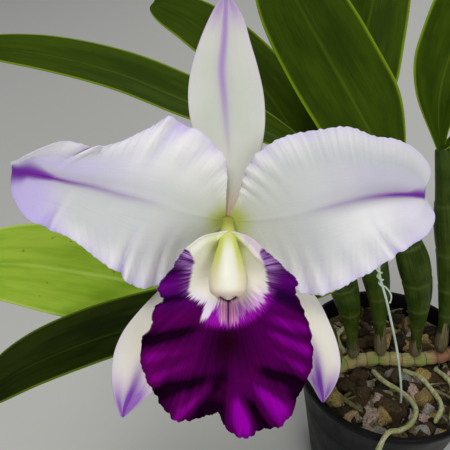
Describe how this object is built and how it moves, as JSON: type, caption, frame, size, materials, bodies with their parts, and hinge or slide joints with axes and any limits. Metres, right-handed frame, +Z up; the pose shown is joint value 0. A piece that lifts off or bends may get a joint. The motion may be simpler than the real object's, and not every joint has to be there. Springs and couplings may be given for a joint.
{
  "type": "cattleya orchid in a pot",
  "caption": "Potted cattleya orchid in bloom: club-shaped pseudobulbs with strap leaves in bark, and an open flower with a ruffled purple lip on a leaning stalk.",
  "frame": {"origin": "middle of the pot's foot, on the surface that it stands on", "axes": "+Z up; the flower looks towards -Y with its face tipped up; +X is to the right as seen from in front of the flower"},
  "size_m": [0.3429, 0.288, 0.362],
  "materials": {
    "pot": "satin",
    "bark": "matte",
    "rhizome": "satin",
    "pseudobulb": "satin",
    "leaf_dark": "satin",
    "leaf_pale": "satin",
    "root": "matte",
    "stalk": "satin",
    "sheath": "matte",
    "sepal": "satin",
    "petal": "satin",
    "lip": "satin",
    "column": "satin",
    "wire": "satin"
  },
  "bodies": {
    "root": {"pot": "pot", "bark": "bark", "rhizome": "rhizome", "pseudobulb_1": "pseudobulb", "pseudobulb_2": "pseudobulb", "pseudobulb_3": "pseudobulb", "pseudobulb_4": "pseudobulb", "pseudobulb_5": "pseudobulb", "pseudobulb_6": "pseudobulb", "leaf_1_arching": "leaf_dark", "leaf_1_right": "leaf_dark", "leaf_2_left": "leaf_pale", "leaf_2_back": "leaf_dark", "leaf_3_left": "leaf_dark", "leaf_3_back": "leaf_dark", "leaf_4_broad": "leaf_dark", "leaf_5_right": "leaf_dark", "leaf_5_back": "leaf_dark", "root_1": "root", "root_2": "root", "root_3": "root", "root_4": "root", "tie_wire": "wire", "flower_stalk": "stalk", "flower_sheath": "sheath", "dorsal_sepal": "sepal", "lateral_sepal_left": "sepal", "lateral_sepal_right": "sepal", "petal_left": "petal", "petal_right": "petal", "lip": "lip", "column": "column", "anther_cap": "column"}
  },
  "joints": []
}
